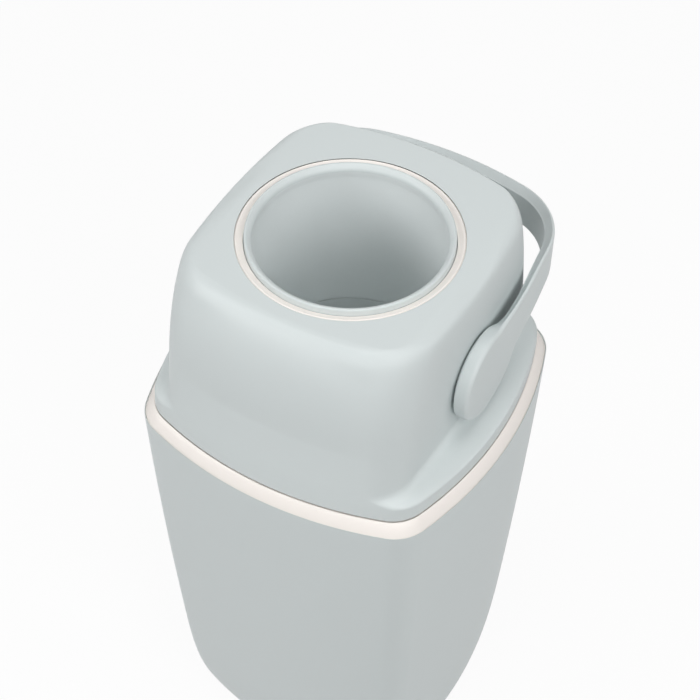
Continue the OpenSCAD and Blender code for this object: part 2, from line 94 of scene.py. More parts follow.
floor_paint = bpy.data.materials.new("floor_white")
floor_paint.use_nodes = True
floor_tree = floor_paint.node_tree
floor_shader = floor_tree.nodes["Principled BSDF"]
floor_shader.inputs["Roughness"].default_value = FLOOR_ROUGHNESS
wire = Wire(floor_tree)
seen = wire.node("LightPath", {}, {}, "Is Camera Ray")
(seen * (FLOOR_WHITE - FLOOR_BOUNCE) + FLOOR_BOUNCE).into(floor_shader, "Base Color")
mirrored = wire.node("LightPath", {}, {}, "Is Glossy Ray")
glow = wire.node("Emission", {}, {"Color": (1, 1, 1, 1), "Strength": 1.0})
lit = Wire(floor_tree, floor_shader.outputs["BSDF"])
shown = wire.node("MixShader", {}, {0: (seen + mirrored) * FLOOR_CLEAR, 1: lit, 2: glow})
shown.into(floor_tree.nodes["Material Output"], "Surface")
floor_mesh.materials.append(floor_paint)

# Studio light: large soft panels, the strongest from the front left, in a white surround that the
# camera and mirror-like reflections see in full but that adds little light.
WORLD_LEVEL = 0.06
LIGHT_AIM = Vector((0.0, 0.0, 0.45))
PANELS = [
    # place in metres, diameter in metres, watts
    ((-1.9, -1.7, 1.9), 1.6, 31.0),
    ((1.7, -1.0, 2.2), 1.4, 12.5),
    ((2.1, -1.3, 1.7), 1.6, 14.0),
    ((0.0, 0.0, 3.2), 1.6, 24.0),
    ((2.2, 0.9, 2.0), 1.6, 14.5),
    ((0.2, -2.6, 1.7), 1.6, 13.0),
    ((-1.2, 2.4, 1.4), 1.6, 4.0),
]

world = bpy.data.worlds.new("studio")
bpy.context.scene.world = world
world.use_nodes = True
sky_tree = world.node_tree
sky = sky_tree.nodes["Background"]
sky.inputs["Color"].default_value = (1.0, 1.0, 1.0, 1)
wire = Wire(sky_tree)
seen = wire.node("LightPath", {}, {}, "Is Camera Ray")
mirrored = wire.node("LightPath", {}, {}, "Is Glossy Ray")
((seen + mirrored) * (1.0 - WORLD_LEVEL) + WORLD_LEVEL).into(sky, "Strength")

for number, (place, size, watts) in enumerate(PANELS):
    panel = bpy.data.lights.new("panel_%d" % number, "AREA")
    panel.shape = "DISK"
    panel.size = size
    panel.energy = watts
    lamp = bpy.data.objects.new("panel_%d" % number, panel)
    lamp.location = place
    lamp.rotation_euler = (LIGHT_AIM - lamp.location).to_track_quat("-Z", "Y").to_euler()
    bpy.context.scene.collection.objects.link(lamp)
bpy.context.scene.view_settings.view_transform = "Standard"

# Camera: above the front right corner, looking down into the chute.
CAMERA_PLACE = Vector((0.4530, -0.7971, 1.4519))
CAMERA_TURN = math.radians(29.565)
CAMERA_PITCH = math.radians(47.909)
CAMERA_ROLL = math.radians(0.670)
CAMERA_LENS = 88.35
CAMERA_SENSOR = 36.0

camera_data = bpy.data.cameras.new("camera")
camera_data.lens = CAMERA_LENS
camera_data.sensor_width = CAMERA_SENSOR
camera = bpy.data.objects.new("camera", camera_data)
to_right = Vector((math.cos(CAMERA_TURN), math.sin(CAMERA_TURN), 0.0))
to_back = Vector((
    math.sin(CAMERA_TURN) * math.cos(CAMERA_PITCH),
    -math.cos(CAMERA_TURN) * math.cos(CAMERA_PITCH),
    math.sin(CAMERA_PITCH)))
level = Matrix((to_right, to_back.cross(to_right), to_back)).transposed()
tilted = level @ Matrix.Rotation(CAMERA_ROLL, 3, "Z")
camera.matrix_world = Matrix.Translation(CAMERA_PLACE) @ tilted.to_4x4()
bpy.context.scene.collection.objects.link(camera)
bpy.context.scene.camera = camera

# Bin: one large polypropylene moulding with a tapering rounded-square wall, a rim that the collar
# plugs into and a foot ring. Satin grey with the fine grain of an eroded mould.
BODY_H = 403.9
BODY_HALF = 144.032
BODY_WALL = 3.0
FLOOR_T = 5.0
FLOOR_SHARE = 0.775
FLOOR_RISE_SHARE = 0.05
FOOT_RING_W = 7.0
FOOT_RING_H = 1.2
MIDDLE_HALF = 8.0
BODY_EDGE = 0.35
BULGE = 0.11
CORNER = 0.235
SIDE_STEPS = 12
CORNER_STEPS = 12
NECK = 0.9985
RIM = 0.994
BODY_SHAPE = [
    # share of the height, share of the half width
    (0.0, 0.735), (0.012, 0.768), (0.05, 0.812), (0.1, 0.85), (0.16, 0.878), (0.23, 0.897),
    (0.34, 0.917), (0.55, 0.95), (0.78, 0.979), (0.985, NECK), (1.0, RIM)]
BODY_ROW_STEPS = 4
WELD = 1e-7
EDGE_STEPS = 3
SMOOTH_UP_TO = math.radians(40)
PLASTIC_IOR = 1.49
DRIFT_SCALE = 7.0
FLECK_SCALE = 420.0
DRIFT_SHARE = 0.7
DRIFT_ROUGHNESS = 0.08
FLECK_ROUGHNESS = 0.06
GRAIN_STRENGTH = 0.35


def arc_radius(half_chord, sag):
    """The radius of an arc over a chord."""
    return (half_chord ** 2 + sag ** 2) / (2 * sag)


def quarter(half_x, half_y, sag_x, sag_y, corner):
    """A quarter of a rounded square with bulging sides, from the +X axis to the +Y axis."""
    mid_x = half_x - sag_x - corner
    mid_y = half_y - sag_y - corner
    long_x = arc_radius(mid_y, sag_x)
    long_y = arc_radius(mid_x, sag_y)
    turn_x = math.asin(mid_y / long_x)
    turn_y = math.asin(mid_x / long_y)
    places = []
    for step in range(SIDE_STEPS):
        angle = turn_x * step / SIDE_STEPS
        reach = long_x + corner
        places.append((half_x - reach + reach * math.cos(angle), reach * math.sin(angle)))
    for step in range(CORNER_STEPS):
        angle = turn_x + (math.pi / 2 - turn_y - turn_x) * step / CORNER_STEPS
        places.append((mid_x + corner * math.cos(angle), mid_y + corner * math.sin(angle)))
    for step in range(SIDE_STEPS):
        angle = math.pi / 2 - turn_y + turn_y * step / SIDE_STEPS
        reach = long_y + corner
        places.append((reach * math.cos(angle), half_y - reach + reach * math.sin(angle)))
    return places


def outline(z, half, front, back, corner=CORNER, side_bulge=BULGE, face_bulge=BULGE):
    """A ring round the piece at one height, in metres, from lengths in millimetres."""
    deep = (front + back) / 2
    shift = (back - front) / 2
    radius = corner * min(half, deep)
    first = quarter(half, deep, side_bulge * half, face_bulge * deep, radius)
    second = quarter(deep, half, face_bulge * deep, side_bulge * half, radius)
    flat = first + [(-y, x) for x, y in second]
    flat += [(-x, -y) for x, y in first] + [(y, -x) for x, y in second]
    return [Vector((x, y + shift, z)) * MM for x, y in flat]


def even(z, half):
    """A ring that reaches as far on all four sides."""
    return outline(z, half, half, half)


def smooth_rows(rows, steps):
    """More rows along a smooth curve through the given ones."""
    dense = []
    for index in range(len(rows) - 1):
        before = rows[max(index - 1, 0)]
        start, end = rows[index], rows[index + 1]
        after = rows[min(index + 2, len(rows) - 1)]
        for step in range(steps):
            t = step / steps
            dense.append(tuple(
                b + 0.5 * t * (c - a + t * (2 * a - 5 * b + 4 * c - d + t * (3 * (b - c) + d - a)))
                for a, b, c, d in zip(before, start, end, after)))
    dense.append(tuple(rows[-1]))
    return dense


def wrap(shape, rings, closed=False):
    """Draws a skin over rings of equal count, and gives back the edges of each ring."""
    verts = [shape.verts.new(place) for place in rings[0]]
    edges = [shape.edges.new((verts[i - 1], verts[i])) for i in range(len(verts))]
    loops = [edges]
    for ring in rings[1:]:
        grown = bmesh.ops.extrude_edge_only(shape, edges=edges)["geom"]
        fresh = {item for item in grown if isinstance(item, bmesh.types.BMVert)}
        edges = [item for item in grown if isinstance(item, bmesh.types.BMEdge)]
        edges = [e for e in edges if e.verts[0] in fresh and e.verts[1] in fresh]
        verts = [next(e.other_vert(v) for e in v.link_edges if e.other_vert(v) in fresh) for v in verts]
        for vert, place in zip(verts, ring):
            vert.co = place
        loops.append(edges)
    if closed:
        bmesh.ops.remove_doubles(shape, verts=shape.verts, dist=WELD)
    return loops


def close_end(shape, loop):
    """Closes a ring with one face."""
    bmesh.ops.holes_fill(shape, edges=loop, sides=0)


def soften(shape, width, least=35.0, above=-math.inf):
    """Rounds the edges above a height in metres that turn by more than the least angle in degrees."""
    creases = [e for e in shape.edges if len(e.link_faces) == 2 and min(v.co.z for v in e.verts) > above]
    sharp = [e for e in creases if e.calc_face_angle() > math.radians(least)]
    bmesh.ops.bevel(
        shape, geom=sharp, offset=width * MM, offset_type="OFFSET", segments=EDGE_STEPS,
        profile=0.5, affect="EDGES", clamp_overlap=True, material=-1)


def finished(name, shape, body, paint, replaced):
    """Makes the smooth-shaded object and ties it to its body in place of the CAD nodes."""
    bmesh.ops.recalc_face_normals(shape, faces=shape.faces)
    mesh = bpy.data.meshes.new(name)
    shape.to_mesh(mesh)
    shape.free()
    mesh.shade_smooth()
    mesh.set_sharp_from_angle(angle=SMOOTH_UP_TO)
    mesh.materials.append(paint)
    piece = bpy.data.objects.new(name, mesh)
    bpy.context.scene.collection.objects.link(piece)
    flatter = piece.modifiers.new("flats", "WEIGHTED_NORMAL")
    flatter.keep_sharp = True
    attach(piece, body)
    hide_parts(*replaced)


def moulded(name, light, dark, roughness, grain, depth):
    """Moulded plastic: two close tones that drift over the piece, and a fine eroded grain in metres."""
    paint = bpy.data.materials.new(name)
    paint.use_nodes = True
    tree = paint.node_tree
    shader = tree.nodes["Principled BSDF"]
    shader.inputs["IOR"].default_value = PLASTIC_IOR
    made = Wire(tree)
    place = made.node("TexCoord", {}, {}, "Object")
    cloud = {"Vector": place, "Detail": 2.0}
    drift = made.node("TexNoise", {}, {**cloud, "Scale": DRIFT_SCALE, "Roughness": 0.5})
    fleck = made.node("TexNoise", {}, {**cloud, "Scale": FLECK_SCALE, "Roughness": 0.6})
    tone = drift * DRIFT_SHARE + fleck * (1.0 - DRIFT_SHARE)
    tones = {"Factor": tone, 6: dark + (1,), 7: light + (1,)}
    made.node("Mix", {"data_type": "RGBA"}, tones, 2).into(shader, "Base Color")
    middle = (DRIFT_ROUGHNESS + FLECK_ROUGHNESS) / 2
    (drift * DRIFT_ROUGHNESS + fleck * FLECK_ROUGHNESS + (roughness - middle)).into(shader, "Roughness")
    pits = made.node("TexNoise", {}, {**cloud, "Scale": 1 / grain, "Roughness": 0.55})
    bump = made.node("Bump", {}, {"Strength": GRAIN_STRENGTH, "Distance": depth, "Height": pits})
    bump.into(shader, "Normal")
    return paint


def repaint(names, paint):
    """Gives CAD nodes that stay as they are one material."""
    for name in names:
        nodes[name].data.materials.clear()
        nodes[name].data.materials.append(paint)


grey_plastic = moulded("grey_plastic", (0.690, 0.742, 0.742), (0.664, 0.716, 0.716), 0.46, 0.0009, 0.00004)

body_rows = smooth_rows([(up * BODY_H, share * BODY_HALF) for up, share in BODY_SHAPE], BODY_ROW_STEPS)
body_foot = body_rows[0][1]
hollow_rows = [row for row in reversed(body_rows) if row[0] > FLOOR_RISE_SHARE * BODY_H]
body_rings = [even(FOOT_RING_H, MIDDLE_HALF), even(FOOT_RING_H, body_foot - FOOT_RING_W)]
body_rings.append(even(0.0, body_foot - FOOT_RING_W))
body_rings += [even(*row) for row in body_rows]
body_rings += [even(z, half - BODY_WALL) for z, half in hollow_rows]
body_rings += [even(FLOOR_T, FLOOR_SHARE * BODY_HALF - BODY_WALL), even(FLOOR_T, MIDDLE_HALF)]
bin_shape = bmesh.new()
bin_loops = wrap(bin_shape, body_rings)
close_end(bin_shape, bin_loops[0])
close_end(bin_shape, bin_loops[-1])
soften(bin_shape, BODY_EDGE)
finished("bin_shell", bin_shape, "bin", grey_plastic, ["bin_body"])

# Foot pads: four soft round pads let into the base.
dark_rubber = moulded("dark_rubber", (0.030, 0.031, 0.033), (0.020, 0.021, 0.022), 0.75, 0.0006, 0.00006)
repaint(["foot_pads"], dark_rubber)

# Collar: a cream moulding whose skirt plugs into the bin's rim. Its bevel shows under the lid, with
# a groove beneath the lid's edge, and its back carries the two outer hinge knuckles.
COLLAR_H = 11.7
COLLAR_OUT = 8.2
COLLAR_WALL = 2.6
COLLAR_TOP_Z = BODY_H + COLLAR_H
LID_GAP = 0.6
SKIRT_H = 18.0
RIM_DROP = 14.0
COLLAR_OPEN = 120.232
COLLAR_FOOT = RIM * BODY_HALF
PLUG_GAP = 0.3
COLLAR_PLUG = COLLAR_FOOT - BODY_WALL - PLUG_GAP
COLLAR_BEVEL = [
    # share of the height, share of the way in to the lid's edge
    (0.0, 0.0), (0.3, 0.2), (0.65, 0.52), (0.86, 0.8), (0.935, 0.98), (0.55, 1.03)]
GROOVE_SHARE = 0.55
RING_REST = 8.0
COLLAR_EDGE = 0.5
SEAM_CLEAR = 0.01
HINGE_Y = 142.532
HINGE_Z = 420.0
KNUCKLE_R = 5.0
LID_KNUCKLE_HALF = 37.0
COLLAR_KNUCKLE = (37.5, 59.5)
PIN_R = 2.5

cream_plastic = moulded("cream_plastic", (0.962, 0.911, 0.865), (0.944, 0.889, 0.841), 0.45, 0.0009, 0.00003)


def sleeve_x(shape, middle_y, middle_z, near, far, inner, outer, turn_steps=64):
    """A round sleeve along X between two x, or a plain disc where the inner radius is zero."""
    profile = [(near, inner), (near, outer), (far, outer), (far, inner)]
    verts = [shape.verts.new(Vector((x, middle_y, middle_z + radius)) * MM) for x, radius in profile]
    edges = [shape.edges.new((verts[i - 1], verts[i])) for i in range(len(verts))]
    bmesh.ops.spin(
        shape, geom=verts + edges, cent=Vector((0, middle_y, middle_z)) * MM, axis=(1, 0, 0),
        dvec=(0, 0, 0), angle=2 * math.pi, steps=turn_steps, use_merge=True, use_duplicate=False)


def block(shape, low, high):
    """A box between two corners."""
    middle = (Vector(low) + Vector(high)) / 2 * MM
    size = (Vector(high) - Vector(low)) * MM
    fit = Matrix.Translation(middle) @ Matrix.Diagonal((size.x, size.y, size.z, 1))
    bmesh.ops.create_cube(shape, size=1.0, matrix=fit)


bevel_w = COLLAR_OUT - LID_GAP
collar_section = [(COLLAR_FOOT - share * bevel_w, BODY_H + up * COLLAR_H) for up, share in COLLAR_BEVEL]
collar_section += [
    (COLLAR_OPEN + RING_REST, BODY_H + GROOVE_SHARE * COLLAR_H), (COLLAR_OPEN + RING_REST, COLLAR_TOP_Z),
    (COLLAR_OPEN, COLLAR_TOP_Z), (COLLAR_OPEN, COLLAR_TOP_Z - RIM_DROP),
    (COLLAR_OPEN + COLLAR_WALL, COLLAR_TOP_Z - RIM_DROP),
    (COLLAR_OPEN + COLLAR_WALL, COLLAR_TOP_Z - COLLAR_WALL),
    (COLLAR_PLUG - COLLAR_WALL, COLLAR_TOP_Z - COLLAR_WALL), (COLLAR_PLUG - COLLAR_WALL, BODY_H - SKIRT_H),
    (COLLAR_PLUG, BODY_H - SKIRT_H), (COLLAR_PLUG, BODY_H)]
collar_shape = bmesh.new()
wrap(collar_shape, [even(z, half) for half, z in collar_section + collar_section[:1]], closed=True)
for side in (-1, 1):
    near, far = side * COLLAR_KNUCKLE[0], side * COLLAR_KNUCKLE[1]
    sleeve_x(collar_shape, HINGE_Y, HINGE_Z, near, far, PIN_R, KNUCKLE_R)
    low_x, high_x = min(near, far), max(near, far)
    block(collar_shape, (low_x, HINGE_Y - KNUCKLE_R, BODY_H), (high_x, HINGE_Y + KNUCKLE_R, HINGE_Z - PIN_R))
soften(collar_shape, COLLAR_EDGE, least=30.0, above=(BODY_H + SEAM_CLEAR) * MM)
finished("collar", collar_shape, "bin", cream_plastic, ["collar_band"])

# Bag ring: a thin flange that rests on the collar, with a skirt that the bag's mouth is drawn over.
RING_T = 2.5
RING_FLANGE = 6.0
RING_SKIRT_H = 20.0
RING_GAP = 0.4
RING_HALF = COLLAR_OPEN - RING_GAP
RING_EDGE = 0.6
ring_section = [
    (COLLAR_OPEN + RING_FLANGE, COLLAR_TOP_Z), (COLLAR_OPEN + RING_FLANGE, COLLAR_TOP_Z + RING_T),
    (RING_HALF - RING_T, COLLAR_TOP_Z + RING_T), (RING_HALF - RING_T, COLLAR_TOP_Z - RING_SKIRT_H),
    (RING_HALF, COLLAR_TOP_Z - RING_SKIRT_H), (RING_HALF, COLLAR_TOP_Z)]
ring_shape = bmesh.new()
wrap(ring_shape, [even(z, half) for half, z in ring_section + ring_section[:1]], closed=True)
soften(ring_shape, RING_EDGE)
finished("bag_hoop", ring_shape, "bin", grey_plastic, ["bag_ring"])

# Hinge pin: a bright steel rod through the knuckles.
steel = moulded("steel", (0.62, 0.63, 0.65), (0.55, 0.56, 0.58), 0.30, 0.0004, 0.00001)
steel.node_tree.nodes["Principled BSDF"].inputs["Metallic"].default_value = 1.0
repaint(["hinge_pin"], steel)

# Lid: one moulding with a flat top round the drum's mouth, a bulging front, flat bearing walls at
# both sides and a shelf below them that flares out to the collar.
AXIS_Z = 476.2
AXIS_UP = 60.0
MOUTH_UP = 87.0
MOUTH_Z = AXIS_Z + MOUTH_UP
LID_LOW_Z = AXIS_Z - AXIS_UP
LID_WALL = 2.4
CAVITY_R = 122.332
HOLE_R = 86.0
HOLE_EASE = 0.4
LID_EDGE = 0.5
LID_ARM_IN = 2.2
SIDE_HALF = 0.8877 * CAVITY_R
BELLY_HALF = CAVITY_R + LID_WALL + 1.9
LID_FLARE = 9.2
LID_HALF = BELLY_HALF + LID_FLARE
TOP_HALF = HOLE_R + 6.0
TOP_FRONT = HOLE_R + 10.0
TOP_BACK = HOLE_R + 27.7
AXIS_CORNER = 0.313
WALL_CORNER = 0.455
TOP_CORNER = 0.204
WALL_BULGE = 0.028
TOP_BULGE = 0.05
FACE_BULGE = 0.079
WALL_FACE_BULGE = 0.072
CREST_SIDE = 3.0
CREST_FRONT = 5.5
CREST_BACK = 0.8
CREST_EASE = 1.6
CREST_FADE = 6.0
CREST_FADE_START = 4.0
FRONT_FALL = 1.25
FRONT_FROM, FRONT_SPAN = 0.595, 0.35
SIDE_FALL = 0.36
SIDE_EASE = 0.3
SIDE_FROM, SIDE_SPAN = 0.35, 0.35
SIDE_LEAD, SIDE_LEAD_SPAN = 3.0, 2.0
SIDE_ROUND = 27.7
FRONT_ROUND = 2.17
BACK_ROUND = 2.56
SHELF_SHAPE = [
    # share of the way up to the axis, of the way out from the side wall, of the flare in front and behind
    (0.0, 1.0, 1.0), (0.18, 0.995, 0.85), (0.205, 0.97, 0.83), (0.22, 0.92, 0.82), (0.24, 0.75, 0.8),
    (0.26, 0.53, 0.78), (0.282, 0.31, 0.76), (0.312, 0.13, 0.73), (0.35, 0.035, 0.69), (0.39, 0.0, 0.65),
    (0.5, 0.0, 0.51), (0.75, 0.0, 0.25)]
SHELF_ROW_STEPS = 3
TOP_ROWS = 34
TOP_GATHER = 2.4
# Shares of the way over the flat top to the hole, down through the wall and back under the top.
TOP_SHARES = (0.25, 0.5, 0.75, 0.93, 1.0)
HOLE_SHARES = (0.33, 0.66, 1.0)
UNDER_SHARES = (0.66, 0.33)


def shelf_row(up, out, flare):
    """The lid's outline below the drum's axis: height, half width, front, back, corner and bulges."""
    deep = BELLY_HALF + flare * LID_FLARE
    return (
        LID_LOW_Z + up * AXIS_UP, SIDE_HALF + out * (LID_HALF - SIDE_HALF), deep, deep,
        AXIS_CORNER + out * (CORNER - AXIS_CORNER), WALL_BULGE + out * (BULGE - WALL_BULGE),
        WALL_FACE_BULGE + out * (BULGE - WALL_FACE_BULGE))


def blended(start, end, share):
    """The value a share of the way from the start to the end."""
    return start + (end - start) * share


def eased(share):
    """A share from 0 to 1 that leaves both ends softly."""
    share = min(max(share, 0.0), 1.0)
    return share * share * (3 - 2 * share)


def way_out(down, roundness):
    """How far a round shoulder has come out, a share of the way down."""
    return math.sqrt(1 - (1 - down) ** roundness)


def top_row(down):
    """The lid's outline a share of the way down from the mouth to the axis, as in shelf_row."""
    out = way_out(down, SIDE_ROUND)
    return (
        MOUTH_Z - down * MOUTH_UP, TOP_HALF + out * (SIDE_HALF - TOP_HALF),
        TOP_FRONT + way_out(down, FRONT_ROUND) * (BELLY_HALF - TOP_FRONT),
        TOP_BACK + way_out(down, BACK_ROUND) * (BELLY_HALF - TOP_BACK),
        TOP_CORNER + out * (WALL_CORNER - TOP_CORNER) - down * out * (WALL_CORNER - AXIS_CORNER),
        TOP_BULGE + out * (WALL_BULGE - TOP_BULGE), FACE_BULGE + out * (WALL_FACE_BULGE - FACE_BULGE))


def inset_row(row):
    """The inner face's outline: one wall lower and one wall further in."""
    return tuple(length - LID_WALL for length in row[:4]) + row[4:]


def towards_circle(ring, radius, z, share):
    """A ring between an outline and a round edge, each point moved straight to the middle."""
    moved = []
    for place in ring:
        flat = Vector((place.x, place.y, 0.0))
        round_place = flat.normalized() * radius * MM
        moved.append(flat.lerp(round_place, share) + Vector((0, 0, z * MM)))
    return moved


top_depths = [(1 - step / TOP_ROWS) ** TOP_GATHER for step in range(TOP_ROWS)] + [0.0]
shelf_rows = [shelf_row(*shape) for shape in SHELF_SHAPE]
lid_rows = smooth_rows(shelf_rows + [top_row(1.0)], SHELF_ROW_STEPS)[:-1]
lid_rows += [top_row(down) for down in top_depths]
lid_outside = [outline(*row) for row in lid_rows]
lid_inside = [outline(*inset_row(row)) for row in lid_rows]
lid_top_ring = lid_outside[-1]
# The edge of the flat top is filled up to a sloping plane in front and cut back to one at the sides.
crest_line = outline(
    MOUTH_Z, TOP_HALF + CREST_SIDE, TOP_FRONT + CREST_FRONT, TOP_BACK + CREST_BACK,
    TOP_CORNER, TOP_BULGE, FACE_BULGE)
for ring, lining in zip(lid_outside[-TOP_ROWS:], lid_inside[-TOP_ROWS:]):
    for place, under, crest in zip(ring, lining, crest_line):
        away = (place.xy.length - crest.xy.length) / MM
        past = (away + math.hypot(away, CREST_EASE)) / 2
        drop = MOUTH_Z - place.z / MM
        facing = crest.xy.normalized()
        in_front = eased((-facing.y - FRONT_FROM) / FRONT_SPAN)
        fading = 1.0 - eased((away - CREST_FADE_START) / CREST_FADE)
        filled = in_front * fading * max(0.0, drop - FRONT_FALL * past)
        beside = eased((abs(facing.x) - SIDE_FROM) / SIDE_SPAN) * eased((away + SIDE_LEAD) / SIDE_LEAD_SPAN)
        spare = SIDE_FALL * past - drop
        taken = beside * (spare + math.hypot(spare, SIDE_EASE)) / 2
        place.z += (filled - taken) * MM
        under.z -= taken * MM
under_z = MOUTH_Z - LID_WALL
lid_rings = lid_outside[:]
for share in TOP_SHARES:
    lid_rings.append(towards_circle(lid_top_ring, HOLE_R + HOLE_EASE, MOUTH_Z, share))
for share in HOLE_SHARES:
    ball_r = math.sqrt(CAVITY_R ** 2 - (MOUTH_UP - share * LID_WALL) ** 2)
    lid_rings.append(towards_circle(lid_top_ring, ball_r, MOUTH_Z - share * LID_WALL, 1.0))
lid_rings += [towards_circle(lid_inside[-1], ball_r, under_z, share) for share in UNDER_SHARES]
lid_rings += lid_inside[::-1]
lid_shape = bmesh.new()
wrap(lid_shape, lid_rings + lid_rings[:1], closed=True)
soften(lid_shape, LID_EDGE, least=50.0)
sleeve_x(lid_shape, HINGE_Y, HINGE_Z, -LID_KNUCKLE_HALF, LID_KNUCKLE_HALF, PIN_R, KNUCKLE_R)
block(
    lid_shape, (-LID_KNUCKLE_HALF, LID_HALF - LID_ARM_IN, LID_LOW_Z + LID_GAP),
    (LID_KNUCKLE_HALF, HINGE_Y - PIN_R, HINGE_Z + KNUCKLE_R))
finished("lid_cover", lid_shape, "lid", grey_plastic, ["lid_shell"])

# Seals: soft grey rings that wipe the drum at the mouth and at the outlet, and one round the piston.
seal_rubber = moulded("seal_rubber", (0.150, 0.160, 0.165), (0.110, 0.118, 0.122), 0.7, 0.0006, 0.00004)
repaint(["mouth_seal", "outlet_seal", "piston_wiper"], seal_rubber)

# Liner: the floor inside the lid with a cradle round the lower half of the drum.
repaint(["lid_liner"], grey_plastic)

# Screws and weight: plain steel.
repaint(["liner_screws", "drum_screws", "trunnion_screws", "piston_weight"], steel)

# Bearings: hard smooth bushes in the lid's walls and the stub shafts that turn in them.
bearing_plastic = moulded("bearing_plastic", (0.80, 0.80, 0.77), (0.77, 0.77, 0.74), 0.38, 0.0012, 0.00001)
repaint(["bush_left", "bush_right", "trunnion_left", "trunnion_right"], bearing_plastic)

# Drum: a cream ball cut flat at both sides and dished at both mouths, in two halves screwed together
# at the axis. Only its narrow face shows between the lid and the lip of the chute.
DRUM_GAP = 0.56
DRUM_R = CAVITY_R - DRUM_GAP
DRUM_WALL = 2.5
DRUM_SIDE = 100.1
LIP_R = 79.3
DRUM_HOLE_R = LIP_R + 0.6
SHAFT_R = 12.0
MOUTH_DISH = 2.8
DRUM_EDGE = 0.35
LATHE_STEPS = 144
BALL_STEPS = 40
OVERCUT = 1.0
THROUGH = 400.0


def lathe(shape, profile, up):
    """Turns a closed profile of (radius, height over the axis) about the drum's upright middle."""
    verts = [shape.verts.new(Vector((radius, 0, AXIS_Z + up * height)) * MM) for radius, height in profile]
    edges = [shape.edges.new((verts[i - 1], verts[i])) for i in range(len(verts))]
    bmesh.ops.spin(
        shape, geom=verts + edges, cent=(0, 0, 0), axis=(0, 0, 1), dvec=(0, 0, 0), angle=2 * math.pi,
        steps=LATHE_STEPS, use_merge=True, use_duplicate=False)
    bmesh.ops.remove_doubles(shape, verts=shape.verts, dist=WELD)


def ball_profile(radius, low, high):
    """Points up the side of a ball between two heights."""
    start, end = math.asin(low / radius), math.asin(high / radius)
    angles = [start + (end - start) * step / BALL_STEPS for step in range(BALL_STEPS + 1)]
    return [(radius * math.cos(angle), radius * math.sin(angle)) for angle in angles]


def flat_sided(shape, half_x):
    """Cuts both sides of a shape flat and closes the cuts."""
    for side in (-1, 1):
        everything = shape.verts[:] + shape.edges[:] + shape.faces[:]
        cut = bmesh.ops.bisect_plane(
            shape, geom=everything, plane_co=(side * half_x * MM, 0, 0), plane_no=(side, 0, 0),
            clear_outer=True)
        seam = [item for item in cut["geom_cut"] if isinstance(item, bmesh.types.BMEdge)]
        bmesh.ops.edgeloop_fill(shape, edges=seam)


def less(shape, cutters):
    """The first shape with the others cut out of it."""
    parts = []
    for part in [shape] + cutters:
        bmesh.ops.recalc_face_normals(part, faces=part.faces)
        mesh = bpy.data.meshes.new("part")
        part.to_mesh(mesh)
        part.free()
        parts.append(bpy.data.objects.new("part", mesh))
        bpy.context.scene.collection.objects.link(parts[-1])
    for cutter in parts[1:]:
        cut = parts[0].modifiers.new("cut", "BOOLEAN")
        cut.operation = "DIFFERENCE"
        cut.solver = "EXACT"
        cut.object = cutter
    graph = bpy.context.evaluated_depsgraph_get()
    cut_mesh = bpy.data.meshes.new_from_object(parts[0].evaluated_get(graph))
    result = bmesh.new()
    result.from_mesh(cut_mesh)
    for part in parts:
        bpy.data.objects.remove(part)
    return result


def half_ball(radius, low, high, side_x):
    """A solid half ball about the drum's middle, flat at both sides and dished on top."""
    shape = bmesh.new()
    dish = [(DRUM_HOLE_R - OVERCUT, high - MOUTH_DISH), (0.0, high - MOUTH_DISH)]
    lathe(shape, [(0.0, low)] + ball_profile(radius, low, high) + dish, 1)
    flat_sided(shape, side_x)
    return shape


def rod(radius, length, segments, place, turn):
    """A solid round rod in a shape of its own, its middle at a place in metres."""
    shape = bmesh.new()
    bmesh.ops.create_cone(
        shape, cap_ends=True, segments=segments, radius1=radius * MM, radius2=radius * MM, depth=length * MM,
        matrix=Matrix.Translation(place) @ turn)
    return shape


FLANGE_IN = DRUM_SIDE - DRUM_WALL
HUB_R = 30.0
HUB_FLANGE_T = 4.0
JOIN_R = 6.0
JOIN_LONG = 18.0
JOIN_STEPS = 32
SHAFT_STEPS = 64
JOIN_TURN = math.radians(48)
JOIN_REACH = 0.965 * (DRUM_R - DRUM_WALL)
# The drum's cream is the collar's plastic painted paler: painted light that makes up for the shade the lip
# casts on the drum's face.
cream_painted_light = moulded(
    "cream_painted_light", (0.990, 0.940, 0.894), (0.974, 0.919, 0.872), 0.45, 0.0009, 0.00003)
UPSIDE_DOWN = Matrix.Translation((0, 0, 2 * AXIS_Z * MM)) @ Matrix.Rotation(math.pi, 4, "X")
UPRIGHT = Matrix.Identity(4)
ALONG_X = Matrix.Rotation(math.pi / 2, 4, "Y")

for name, up in (("drum_upper", 1), ("drum_lower", -1)):
    outside = half_ball(DRUM_R, 0.0, MOUTH_UP, DRUM_SIDE)
    soften(outside, DRUM_EDGE)
    hollow = half_ball(DRUM_R - DRUM_WALL, -OVERCUT, MOUTH_UP - DRUM_WALL, FLANGE_IN)
    kept = []
    for side in (-1, 1):
        for end in (-1, 1):
            at_x, at_y = side * JOIN_REACH * math.cos(JOIN_TURN), end * JOIN_REACH * math.sin(JOIN_TURN)
            kept.append(rod(JOIN_R, JOIN_LONG, JOIN_STEPS, Vector((at_x, at_y, AXIS_Z)) * MM, UPRIGHT))
        housing = bmesh.new()
        near, far = side * (FLANGE_IN - HUB_FLANGE_T), side * (FLANGE_IN + OVERCUT)
        sleeve_x(housing, 0.0, AXIS_Z, near, far, HUB_R, HUB_R + DRUM_WALL)
        kept.append(housing)
    mouth = rod(DRUM_HOLE_R, THROUGH, LATHE_STEPS, (0, 0, AXIS_Z * MM), UPRIGHT)
    shaft = rod(SHAFT_R, THROUGH, SHAFT_STEPS, (0, 0, AXIS_Z * MM), ALONG_X)
    half = less(outside, [less(hollow, kept), mouth, shaft])
    if up < 0:
        bmesh.ops.transform(half, matrix=UPSIDE_DOWN, verts=half.verts)
    finished(name + "_half", half, "drum", cream_painted_light, [name])

